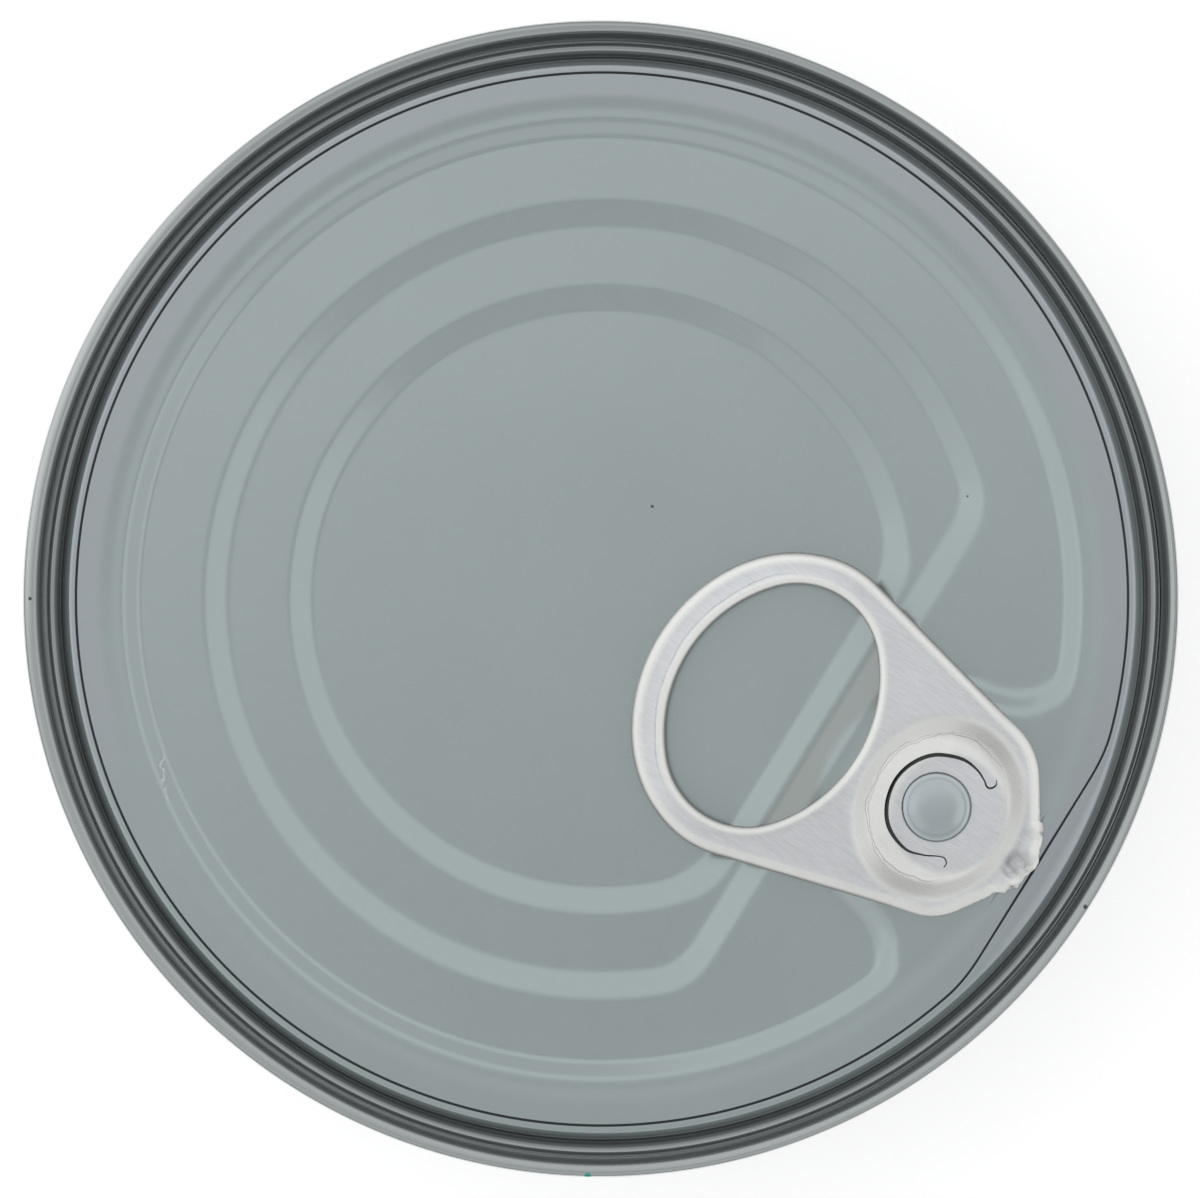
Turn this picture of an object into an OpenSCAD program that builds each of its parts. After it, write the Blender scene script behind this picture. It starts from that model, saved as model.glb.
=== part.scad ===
// Shallow round food can, shut, with an easy-open lid and its ring pull.
// Millimetres, +Z up, origin at the centre of the base. The ring pull lies along X with its
// nose toward +X. Three pieces: can_body, lid (with its rivet) and ring_pull.

/* [Can] */
// Outer diameter over the double seam
seam_d = 87.3; // [72:0.1:106]
// Height from the base to the top of the seam
can_h = 38; // [28:1:60]
// How far the seam stands out past the body wall
seam_lip = 1.15; // [0.8:0.05:1.6]
// Radius of the body's lower edge
base_round = 2.2; // [1.5:0.1:3]
// Width of the flat ring the can stands on
foot_w = 1.7; // [1.2:0.1:3]
// Depth of the hollow under the base
base_hollow = 1.6; // [0.8:0.1:2.2]

/* [Lid rim] */
// Width of the seam's crest
seam_w = 0.85; // [0.7:0.05:1.2]
// Height of the double seam
seam_h = 3; // [2.6:0.1:3.6]
// Depth of the countersink groove below the crest
sink_drop = 4.4; // [4.2:0.1:5]
// Depth of the lid's panel below the crest
panel_drop = 2.8; // [2.4:0.1:3]
// Radius of the panel's outer shoulder
shoulder_r = 1.1; // [0.8:0.05:1.3]

/* [Lid panel] */
// Distance of the score line in from the seam's outside
score_in = 3.98; // [3.9:0.02:4.4]
// Width of the score line
score_w = 0.16; // [0.12:0.02:0.3]
// Depth of the score line
score_drop = 0.15; // [0.1:0.01:0.25]
// Depth of the ledge inside the score line
ledge_drop = 0.25; // [0.15:0.05:0.35]
// Depth of each of the three recesses
step_drop = 0.45; // [0.3:0.05:0.5]
// Distance of the outer recess in from the seam's outside
recess1_in = 7.25; // [6.6:0.05:8]
// Distance of the middle recess in from the seam's outside
recess2_in = 13.25; // [11.5:0.05:14]
// Distance of the inner recess in from the seam's outside
recess3_in = 19.75; // [17.5:0.05:20.5]
// Width on plan of a recess's sloping wall
wall_w = 2; // [1.2:0.1:2.2]
// Radius of the raised island around the rivet
island_r = 8.4; // [7.6:0.1:9]

/* [Rivet] */
// Distance of the rivet in from the seam's outside
rivet_in = 13.75; // [13.5:0.05:14.5]
// Radius of the rivet's head
rivet_r = 2.65; // [2.2:0.05:3]
// Height of the rivet's head
rivet_h = 0.65; // [0.4:0.05:0.9]
// Radius of the rivet's shank
shank_r = 1.6; // [1.2:0.05:1.9]

/* [Ring pull] */
// Half length of the finger hole along the pull
hole_a = 7.5; // [6.8:0.1:8.2]
// Half width of the finger hole across the pull
hole_b = 9.75; // [8.6:0.05:10.2]
// Width of the ring's bar
bar_w = 2.3; // [1.8:0.1:3]
// Distance from the rivet back to the middle of the finger hole
hole_back = 14.5; // [13.8:0.1:15.5]
// Thickness of the rolled edge
roll_t = 1.65; // [1.2:0.05:1.8]
// Thickness of the tongue under the rivet's head
tongue_t = 0.45; // [0.3:0.05:0.6]
// Radius of the tongue's dished floor
dish_r = 5.1; // [4.7:0.1:5.6]
// Inner radius of the slot that frees the tongue
slot_r = 3.65; // [3.4:0.05:4]
// Width of the slot
slot_w = 0.35; // [0.2:0.05:0.5]

/* [Hidden] */
$fn = 96;
// Clearance between the rivet's shank and the tongue
shank_gap = 0.1;
// Metal left under the deepest point of the lid, and beside the countersink
lid_under = 0.6;
plug_gap = 0.25;
// How much the rolled edges draw in at the top and bottom of the pull
roll_in = 0.35;

seam_r = seam_d / 2;
body_r = seam_r - seam_lip;
plug_r = body_r - plug_gap;
seam_z = can_h - seam_h;
lid_z = can_h - sink_drop - lid_under;
groove_r = 0.4;
groove_x = seam_r - 2.25;
groove_z = can_h - sink_drop + groove_r;
shoulder_x = groove_x - groove_r - shoulder_r;

panel_z = can_h - panel_drop;
ledge_z = panel_z - ledge_drop;
score_r = seam_r - score_in;
rivet_x = seam_r - rivet_in;
island_z = ledge_z;
recess1_z = ledge_z - step_drop;
recess2_z = recess1_z - step_drop;
recess3_z = recess2_z - step_drop;
// Straight walls of the middle and inner recesses, and the straight run of the score line
chord2_x = rivet_x - 8.3;
chord3_x = rivet_x - 10.8;
score_x = rivet_x + 8.72;

hole_r = 6.2;
ring_a = hole_a + bar_w - 0.1;
ring_b = hole_b + bar_w + 0.1;
ring_r = 7.9;
ring_x = rivet_x - hole_back;
neck = [rivet_x + 1.1, 3];
neck_r = 5.2;
nose = [rivet_x + 5.5, 0];
nose_r = 3.2;
pull_top = panel_z + roll_t;
tongue_z = island_z + tongue_t;

big = 4 * seam_r;

// ---- helpers ----

// A cone wall from radius r_low at z_low to r_high at z_high, carried on up as a cylinder
module bowl(r_low, z_low, r_high, z_high) {
    rotate_extrude()
        polygon([[0, z_low], [r_low, z_low], [r_high, z_high], [r_high, can_h + 1],
                 [0, can_h + 1]]);
}

// Everything on the -X side of a straight sloping wall
module behind_chord(x_low, z_low, x_high, z_high) {
    translate([0, big / 2, 0]) rotate([90, 0, 0]) linear_extrude(big)
        polygon([[-big, z_low], [x_low, z_low], [x_high, z_high], [x_high, can_h + 1],
                 [-big, can_h + 1]]);
}

// Four-arc oval with half lengths a (X) and b (Y) and end radius r
module oval(a, b, r) {
    large = (a * a + (b - r) * (b - r) - r * r) / (2 * (a - r));
    reach = (b - r) * large / (large - r);
    intersection() {
        translate([large - a, 0]) circle(large);
        translate([a - large, 0]) circle(large);
        square([2 * a + 1, 2 * reach], center = true);
    }
    for (s = [-1, 1]) translate([0, s * (b - r)]) circle(r);
}

// Touch points of the common tangent on the +Y side of two circles
function touch(c1, r1, c2, r2) =
    let (d = c2 - c1, t = atan2(d[1], d[0]) + acos((r1 - r2) / norm(d)))
    [c1 + r1 * [cos(t), sin(t)], c2 + r2 * [cos(t), sin(t)]];

// Outline of the ring pull, drawn in by inset
module pull_outline(inset) {
    end = [ring_x, ring_b - ring_r];
    first = touch(end, ring_r - inset, neck, neck_r - inset);
    second = touch(neck, neck_r - inset, nose, nose_r - inset);
    translate([ring_x, 0]) oval(ring_a - inset, ring_b - inset, ring_r - inset);
    translate(nose) circle(nose_r - inset);
    for (s = [0, 1]) mirror([0, s]) {
        translate(neck) circle(neck_r - inset);
        polygon([[ring_x, -1], end, first[0], first[1], neck, second[0], second[1], nose,
                 [nose[0], -1]]);
    }
}

// One flat layer of the ring pull between two heights
module pull_layer(inset, z_low, z_high) {
    translate([0, 0, z_low]) linear_extrude(z_high - z_low) difference() {
        pull_outline(inset);
        translate([ring_x, 0]) oval(hole_a + inset, hole_b + inset, hole_r + inset);
    }
}

// Land left standing where the outer recess stops at both sides of the nose
module nose_land() {
    translate([0, 0, recess3_z - 1]) linear_extrude(can_h)
        polygon([[rivet_x, 0], [rivet_x + 0.8, 8.8], [rivet_x + 2.6, 11],
                 [rivet_x + 3.2, 13.2], [rivet_x + 12, 20], [rivet_x + 12, -20],
                 [rivet_x + 3.2, -13.2], [rivet_x + 2.6, -11], [rivet_x + 0.8, -8.8]]);
}

// The raised island around the rivet, wider toward its foot
module island() {
    translate([rivet_x, 0, 0]) rotate_extrude()
        polygon([[0, recess3_z - 1], [island_r + 1.8, recess3_z - 1],
                 [island_r + 1.8, recess2_z], [island_r, island_z], [0, island_z]]);
}

// ---- lid ----

// Turned section of the lid before its panel is pressed
module lid_section() {
    square_to = shoulder_x + shoulder_r;
    translate([0, lid_z]) square([shoulder_x, panel_z - lid_z]);
    intersection() {
        translate([shoulder_x, panel_z - shoulder_r]) circle(shoulder_r);
        translate([0, lid_z]) square([seam_r, can_h]);
    }
    translate([0, lid_z]) square([square_to, panel_z - shoulder_r - lid_z]);
    difference() {
        translate([square_to - 0.5, lid_z])
            square([plug_r - square_to + 0.5, groove_z - lid_z]);
        translate([groove_x, groove_z]) circle(groove_r);
    }
    polygon([[groove_x + groove_r, lid_z], [plug_r, lid_z], [plug_r, seam_z],
             [seam_r - 0.3, seam_z], [seam_r, seam_z + 0.3], [seam_r, can_h - seam_w / 2],
             [seam_r - seam_w, can_h - seam_w / 2], [groove_x + groove_r, groove_z]]);
    translate([seam_r - seam_w / 2, can_h - seam_w / 2]) circle(seam_w / 2);
}

// Score line: a thin groove round the panel, straight beside the nose
module score_line() {
    translate([0, 0, panel_z - score_drop]) linear_extrude(1) difference() {
        intersection() {
            circle(score_r + score_w / 2);
            translate([-big, -big / 2]) square([big + score_x + score_w / 2, big]);
        }
        intersection() {
            circle(score_r - score_w / 2);
            translate([-big, -big / 2]) square([big + score_x - score_w / 2, big]);
        }
    }
}

module lid() color("silver") {
    difference() {
        rotate_extrude() lid_section();
        score_line();
        bowl(score_r - 2.7, ledge_z, score_r - 1.5, panel_z);
        difference() {
            bowl(seam_r - recess1_in - wall_w + 0.4, recess1_z, seam_r - recess1_in, ledge_z);
            nose_land();
            island();
        }
        difference() {
            intersection() {
                bowl(seam_r - recess2_in - wall_w, recess2_z, seam_r - recess2_in, recess1_z);
                behind_chord(chord2_x - wall_w, recess2_z, chord2_x, recess1_z);
            }
            island();
        }
        intersection() {
            bowl(seam_r - recess3_in - wall_w, recess3_z, seam_r - recess3_in, recess2_z);
            behind_chord(chord3_x - wall_w + 0.3, recess3_z, chord3_x, recess2_z);
        }
    }
    // rivet, pressed from the lid's own metal and headed over the tongue
    translate([rivet_x, 0, island_z - 0.2])
        cylinder(h = tongue_z - island_z + 0.3, r = shank_r);
    translate([rivet_x, 0, tongue_z]) {
        cylinder(h = rivet_h - 0.2, r = rivet_r);
        translate([0, 0, rivet_h - 0.2])
            cylinder(h = 0.2, r1 = rivet_r, r2 = rivet_r - 0.3);
    }
}

// ---- ring pull ----

module ring_pull() color("gainsboro") difference() {
    union() {
        difference() {
            union() {
                pull_layer(roll_in, panel_z, panel_z + roll_in);
                pull_layer(0, panel_z + roll_in, pull_top - roll_in);
                pull_layer(roll_in, pull_top - roll_in, pull_top);
            }
            translate([rivet_x, 0, panel_z - 1])
                cylinder(h = 1 + tongue_z - panel_z, r = dish_r - 0.3);
            translate([rivet_x, 0, tongue_z])
                cylinder(h = pull_top - tongue_z, r1 = dish_r - 0.3, r2 = dish_r + 1.2);
            translate([rivet_x, 0, pull_top - 0.001])
                cylinder(h = 1, r = dish_r + 1.2);
        }
        translate([rivet_x, 0, island_z]) cylinder(h = tongue_t, r = dish_r);
    }
    // hole for the rivet's shank
    translate([rivet_x, 0, island_z - 1])
        cylinder(h = tongue_t + 2, r = shank_r + shank_gap);
    // slot round the tongue, open toward the nose
    translate([rivet_x, 0, island_z - 1]) linear_extrude(tongue_t + 2) difference() {
        circle(slot_r + slot_w);
        circle(slot_r);
        translate([slot_r * 0.66, -slot_r * 2]) square(slot_r * 4);
    }
}

// ---- body ----

module can_body() color("silver") rotate_extrude() difference() {
    union() {
        square([body_r - base_round, seam_z]);
        translate([0, base_round]) square([body_r, seam_z - base_round]);
        translate([body_r - base_round, base_round]) circle(base_round);
    }
    translate([0, lid_z]) square([plug_r, can_h]);
    polygon([[0, -1], [body_r - base_round - foot_w, -1],
             [body_r - base_round - foot_w, 0],
             [body_r - base_round - foot_w - base_hollow, base_hollow],
             [0, base_hollow]]);
    translate([-big, -1]) square([big, can_h * 2]);
}

can_body();
lid();
ring_pull();
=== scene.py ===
"""Shut round food can with an easy-open lid and a ring pull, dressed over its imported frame.

Classes hold their sizes in millimetres; a mesh is scaled to metres when it is made. The ring
pull lies along +X with its nose outward, +Z is up and the can stands on z = 0. The rivet stands
RIVET_X from the axis, the pull's cup is centred CUP_Y beside it and TONGUE_Z is the tongue's top.
"""

from __future__ import annotations

import logging
import math
from dataclasses import dataclass
from enum import Enum
from typing import Any, Iterable, Sequence

import bpy
import numpy as np
from mathutils import Matrix, Vector
from mathutils.geometry import delaunay_2d_cdt


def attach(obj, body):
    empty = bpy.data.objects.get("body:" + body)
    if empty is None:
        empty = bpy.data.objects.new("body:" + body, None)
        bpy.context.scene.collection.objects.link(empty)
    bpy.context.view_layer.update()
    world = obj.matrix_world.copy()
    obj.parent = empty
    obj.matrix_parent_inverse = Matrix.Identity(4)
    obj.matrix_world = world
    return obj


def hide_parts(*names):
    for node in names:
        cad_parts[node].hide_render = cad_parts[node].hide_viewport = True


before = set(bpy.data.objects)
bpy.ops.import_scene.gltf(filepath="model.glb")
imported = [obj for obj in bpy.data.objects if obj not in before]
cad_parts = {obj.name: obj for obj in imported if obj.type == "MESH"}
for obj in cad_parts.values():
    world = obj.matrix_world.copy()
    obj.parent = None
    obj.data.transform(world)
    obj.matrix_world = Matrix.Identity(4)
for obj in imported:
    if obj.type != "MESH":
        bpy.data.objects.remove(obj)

Rgb = tuple[float, float, float]

LOG = logging.getLogger("can")
MM = 0.001
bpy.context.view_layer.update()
RIVET_X = 29.9
CUP_Y = 0.05
TONGUE_Z = 35.4


# ---------------------------------------------------------------- shader maths


class Wire:
    """A socket of a material's tree, with number maths written as Python."""

    def __init__(self, bench: "Bench", socket: bpy.types.NodeSocket) -> None:
        """Hold an output socket of the material being built."""
        self.bench = bench
        self.socket = socket

    def _do(self, operation: str, *values: Any) -> "Wire":
        """Add one Math node fed with wires or numbers and return its value."""
        return self.bench.add("ShaderNodeMath", {"operation": operation}, *values)

    def __add__(self, other: Any) -> "Wire":
        """Return self + other."""
        return self._do("ADD", self, other)

    __radd__ = __add__

    def __sub__(self, other: Any) -> "Wire":
        """Return self - other."""
        return self._do("SUBTRACT", self, other)

    def __rsub__(self, other: Any) -> "Wire":
        """Return other - self."""
        return self._do("SUBTRACT", other, self)

    def __mul__(self, other: Any) -> "Wire":
        """Return self * other."""
        return self._do("MULTIPLY", self, other)

    __rmul__ = __mul__

    def __truediv__(self, other: Any) -> "Wire":
        """Return self / other."""
        return self._do("DIVIDE", self, other)

    def __pow__(self, other: Any) -> "Wire":
        """Return self ** other."""
        return self._do("POWER", self, other)

    def __neg__(self) -> "Wire":
        """Return -self."""
        return self._do("MULTIPLY", self, -1.0)

    def __abs__(self) -> "Wire":
        """Return the absolute value."""
        return self._do("ABSOLUTE", self)

    def cosine(self) -> "Wire":
        """Return the cosine."""
        return self._do("COSINE", self)

    def tanh(self) -> "Wire":
        """Return the hyperbolic tangent."""
        return self._do("TANH", self)

    def heading(self, x: "Wire") -> "Wire":
        """Return the angle from +X of the point whose Y this is."""
        return self._do("ARCTAN2", self, x)

    def step(self, low: float, high: float) -> "Wire":
        """Return a smooth 0 to 1 rise between two values.

        Args:
            low: where the rise starts.
            high: where it ends; under low it falls instead.

        Returns:
            The smooth mask.
        """
        t = self._do("MULTIPLY", self - low, 1.0 / (high - low))
        t = self._do("MINIMUM", self._do("MAXIMUM", t, 0.0), 1.0)
        return t * t * (3.0 - 2.0 * t)

    def band(self, middle: float, half: float) -> "Wire":
        """Return a soft bump of height 1 and the given half width around a value."""
        return abs(self - middle).step(half, 0.0)


class Bench:
    """One material or world being built from nodes."""

    def __init__(self, tree: bpy.types.NodeTree) -> None:
        """Start on a node tree, emptied first."""
        self.tree = tree
        tree.nodes.clear()

    @classmethod
    def material(cls, name: str) -> tuple["Bench", bpy.types.Material]:
        """Make a material and its bench.

        Args:
            name: the material's name.

        Returns:
            The bench and the material.
        """
        material = bpy.data.materials.new(name)
        material.use_nodes = True
        return cls(material.node_tree), material

    def node(self, kind: str, settings: dict[str, Any] | None = None, *values: Any,
             **named: Any) -> bpy.types.Node:
        """Add one node, with its settings first and then its sockets.

        Args:
            kind: the node's type.
            settings: properties to set.
            values: wires or constants for the sockets in order.
            named: wires or constants by socket name, with _ for a space.

        Returns:
            The node.
        """
        made = self.tree.nodes.new(kind)
        for key, value in (settings or {}).items():
            setattr(made, key, value)
        for i, value in enumerate(values):
            self.feed(made.inputs[i], value)
        for key, value in named.items():
            self.feed(made.inputs[key.replace("_", " ")], value)
        return made

    def add(self, kind: str, settings: dict[str, Any] | None = None, *values: Any,
            out: int | str = 0, **named: Any) -> Wire:
        """Add one node, as node() does, and return the output wanted as a wire."""
        return Wire(self, self.node(kind, settings, *values, **named).outputs[out])

    def feed(self, socket: bpy.types.NodeSocket, value: Any) -> None:
        """Link a wire to a socket, or set a constant on it.

        Args:
            socket: the input socket.
            value: a wire, a number, a colour or a vector.
        """
        if isinstance(value, Wire):
            self.tree.links.new(value.socket, socket)
        elif isinstance(value, (tuple, list)) and socket.type == "RGBA":
            socket.default_value = (*value[:3], 1.0)
        else:
            socket.default_value = value

    def place(self, turn: float = 0.0, stretch: Sequence[float] = (1.0, 1.0, 1.0)) -> Wire:
        """Return the piece's own coordinates in millimetres, turned about Z and stretched."""
        own = self.add("ShaderNodeTexCoord", out="Object")
        return self.add("ShaderNodeMapping", None, own, Rotation=(0.0, 0.0, turn),
                        Scale=tuple(size / MM for size in stretch))

    def parts(self, vector: Wire) -> tuple[Wire, Wire, Wire]:
        """Split a vector into its X, Y and Z."""
        split = self.node("ShaderNodeSeparateXYZ", None, vector)
        return tuple(Wire(self, split.outputs[i]) for i in range(3))

    def noise(self, vector: Wire, scale: float, detail: float = 2.0, rough: float = 0.5,
              seed: float = 0.0) -> Wire:
        """Return a fractal noise from 0 to 1.

        Args:
            vector: where it is read.
            scale: its scale per millimetre.
            detail: octaves.
            rough: weight of the finer octaves.
            seed: fixed fourth coordinate.

        Returns:
            The noise value.
        """
        return self.add("ShaderNodeTexNoise", {"noise_dimensions": "4D"}, vector, W=seed,
                        Scale=scale, Detail=detail, Roughness=rough)

    def attribute(self, name: str) -> Wire:
        """Return a number stored on the piece's points under a name."""
        return self.add("ShaderNodeAttribute", {"attribute_name": name}, out="Fac")

    def mix(self, mask: Any, low: Any, high: Any) -> Wire:
        """Mix two colours.

        Args:
            mask: 0 for low, 1 for high.
            low: a colour or wire.
            high: a colour or wire.

        Returns:
            The mixed colour.
        """
        made = self.node("ShaderNodeMix", {"data_type": "RGBA"}, mask)
        sockets = {socket.identifier: socket for socket in (*made.inputs, *made.outputs)}
        self.feed(sockets["A_Color"], low)
        self.feed(sockets["B_Color"], high)
        return Wire(self, sockets["Result_Color"])

    def layer(self, colour: Any, layers: Iterable[tuple[Wire, Rgb]]) -> Wire:
        """Lay colours over a first one, each by its own mask.

        Args:
            colour: the lowest colour.
            layers: mask and colour of each layer, lowest first.

        Returns:
            The mixed colour.
        """
        for mask, paint in layers:
            colour = self.mix(mask, colour, paint)
        return colour

    def shade(self, colour: Any, factor: Wire) -> Wire:
        """Scale a colour by a number."""
        return self.add("ShaderNodeVectorMath", {"operation": "SCALE"}, colour, Scale=factor)

    def bump(self, height: Wire, distance: float, under: Wire | None = None) -> Wire:
        """Turn a height in millimetres into a normal.

        Args:
            height: the height.
            distance: what a height of 1 stands for, in millimetres.
            under: a normal to build on.

        Returns:
            The normal.
        """
        extra = {"Normal": under} if under is not None else {}
        return self.add("ShaderNodeBump", None, Height=height, Distance=distance * MM,
                        Strength=1.0, **extra)

    def finish(self, **sockets: Any) -> None:
        """Add the shader, with its sockets by name, and the output."""
        shader = self.add("ShaderNodeBsdfPrincipled", None, **sockets)
        self.node("ShaderNodeOutputMaterial", None, Surface=shader)


# ---------------------------------------------------------------- finishes


@dataclass(frozen=True)
class Speck:
    """A small spot on a surface, seen from above."""

    x: float
    y: float
    radius: float
    z: float = 34.2
    colour: Rgb = (0.03, 0.035, 0.035)

    def lay(self, bench: Bench, colour: Wire, at: tuple[Wire, Wire, Wire]) -> Wire:
        """Lay the spot over a colour.

        Args:
            bench: the material being built.
            colour: the colour below.
            at: X, Y and Z in millimetres.

        Returns:
            The colour with the spot.
        """
        dx, dy, dz = at[0] - self.x, at[1] - self.y, at[2] - self.z
        mask = (dx * dx + dy * dy + 0.04 * dz * dz).step(self.radius ** 2, 0.35 * self.radius ** 2)
        return bench.mix(mask * 0.9, colour, self.colour)


@dataclass(frozen=True)
class LidLacquer:
    """Grey-green glossy lacquer over the pressed steel of the lid."""

    panel: Rgb = (0.335, 0.388, 0.386)
    # edge: colour of a painted reflection, a bluer tint laid on one side of the outer band
    edge: Rgb = (0.350, 0.384, 0.400)
    # Painted shade: a darker colour in the countersink, where the steep wall lies in shade
    countersink_shade: Rgb = (0.30, 0.32, 0.32)
    crest: Rgb = (0.352, 0.377, 0.374)
    # bare: bare metal on the seam's top, and the colour of a painted highlight on one side of it
    bare_and_highlight: Rgb = (0.60, 0.625, 0.62)
    side: Rgb = (0.45, 0.475, 0.475)
    rivet: Rgb = (0.355, 0.395, 0.405)
    roughness: float = 0.17
    metallic: float = 0.85
    scratch: Rgb = (0.62, 0.64, 0.65)
    shadow: Rgb = (0.272, 0.292, 0.280)
    reflection_tint_at: tuple[float, float] = (37.4, 38.3)
    countersink_shade_at: tuple[float, float] = (40.2, 41.2)
    crest_at: tuple[float, float] = (42.6, 42.8)
    seam_highlight_at: tuple[float, float] = (42.9, 43.1)
    side_at: tuple[float, float] = (43.40, 43.6)
    top_at: tuple[float, float] = (37.1, 37.6)
    rivet_edge: tuple[float, float] = (2.8, 2.66)
    scuff_at: tuple[float, float] = (-19.6, -31.1)
    scuff_way: tuple[float, float] = (0.815, 0.58)
    specks: tuple[Speck, ...] = (
        Speck(-0.4, 8.0, 0.14), Speck(19.5, 21.2, 0.13), Speck(43.35, -0.45, 0.2, 37.9),
        Speck(-36.6, -22.7, 0.16, 37.9), Speck(22.2, -37.45, 0.3, 37.7, (0.02, 0.35, 0.30)))

    def scuff(self, bench: Bench, at: Wire, grain: Wire) -> Wire:
        """Return the mask of the scratch in the outer recess's wall.

        Args:
            bench: the material being built.
            at: the piece's coordinates in millimetres.
            grain: the fine noise that breaks the scratch up.

        Returns:
            The mask.
        """
        x, y, _ = bench.parts(at)
        (ax, ay), (wx, wy) = self.scuff_at, self.scuff_way
        jag = bench.noise(at, 1.1, 2.0, 0.6, 3.1) - 0.5
        along = -(wy * (x - ax) - wx * (y - ay))
        across = wx * (x - ax) + wy * (y - ay) + 1.5 * jag
        return across.band(0.0, 0.13) * along.band(2.9, 3.3) * grain.step(0.38, 0.55) * 0.6

    def material(self) -> bpy.types.Material:
        """Build the finish.

        Returns:
            The material.
        """
        bench, made = Bench.material("lid_lacquer")
        at = bench.place()
        x, y, z = bench.parts(at)
        radius = (x * x + y * y) ** 0.5
        from_rivet = ((x - RIVET_X) * (x - RIVET_X) + y * y) ** 0.5
        on_rivet = from_rivet.step(*self.rivet_edge)
        cloud = bench.noise(at, 0.045, 3.0, 0.55, 1.7)
        grain = bench.noise(at, 1.3, 3.0, 0.6, 4.2)
        fine = bench.noise(at, 9.0, 2.0, 0.6, 8.8)
        # Painted reflection: the outer band is tinted bluer on one side, chosen by heading
        toward = (0.342 * x - 0.94 * y) / radius
        reflection_tint = (radius + 1.6 * (cloud - 0.5)).step(*self.reflection_tint_at) * toward.step(0.62, 0.40)
        # Painted highlight: the seam's top is lightened toward one heading
        seam_highlight = ((x * -0.988 - y * 0.156) / radius).step(0.86, 0.99)
        outside = radius.step(*self.side_at)
        shade = x.step(19.1, 19.8) * x.step(24.0, 22.5) * abs(y).step(9.5, 8.0)
        shade = shade * from_rivet.step(8.5, 9.4) * (0.75 + 0.6 * (cloud - 0.5))
        colour = bench.layer(self.panel, (
            (reflection_tint, self.edge), (self.scuff(bench, at, grain), self.scratch),
            (radius.step(*self.countersink_shade_at), self.countersink_shade), (radius.step(*self.crest_at), self.crest),
            (radius.step(*self.seam_highlight_at) * seam_highlight * 0.5, self.bare_and_highlight), (outside, self.side),
            (outside * z.step(*self.top_at), self.bare_and_highlight), (on_rivet, self.rivet),
            (shade, self.shadow)))
        for speck in self.specks:
            colour = speck.lay(bench, colour, (x, y, z))
        # Painted shade: the score line's groove is darkened
        tone = (0.93 + 0.12 * cloud + 0.03 * grain) * (1.0 - 0.85 * bench.attribute("score"))
        tone = tone * (1.0 + 0.12 * on_rivet)
        # Painted shade in the groove round the rivet's dome, and a painted highlight on the ridge
        # outside it
        tone = tone * (1.0 - 0.10 * from_rivet.band(2.14, 0.14) + 0.10 * from_rivet.band(2.40, 0.12))
        # Painted shade: the sheet under the pull's cup, seen through the slot, is darkened strongly
        tone = tone * (1.0 - 0.88 * from_rivet.step(5.2, 4.6) * from_rivet.step(2.5, 2.8))
        rough = self.roughness + 0.05 * (grain - 0.5) + 0.04 * (cloud - 0.5)
        normal = bench.bump(fine, 0.0006, bench.bump(grain, 0.003))
        bench.finish(Base_Color=bench.shade(colour, tone), Metallic=self.metallic,
                     Roughness=rough, Normal=normal, Coat_Weight=0.2, Coat_Roughness=0.12)
        return made


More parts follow.
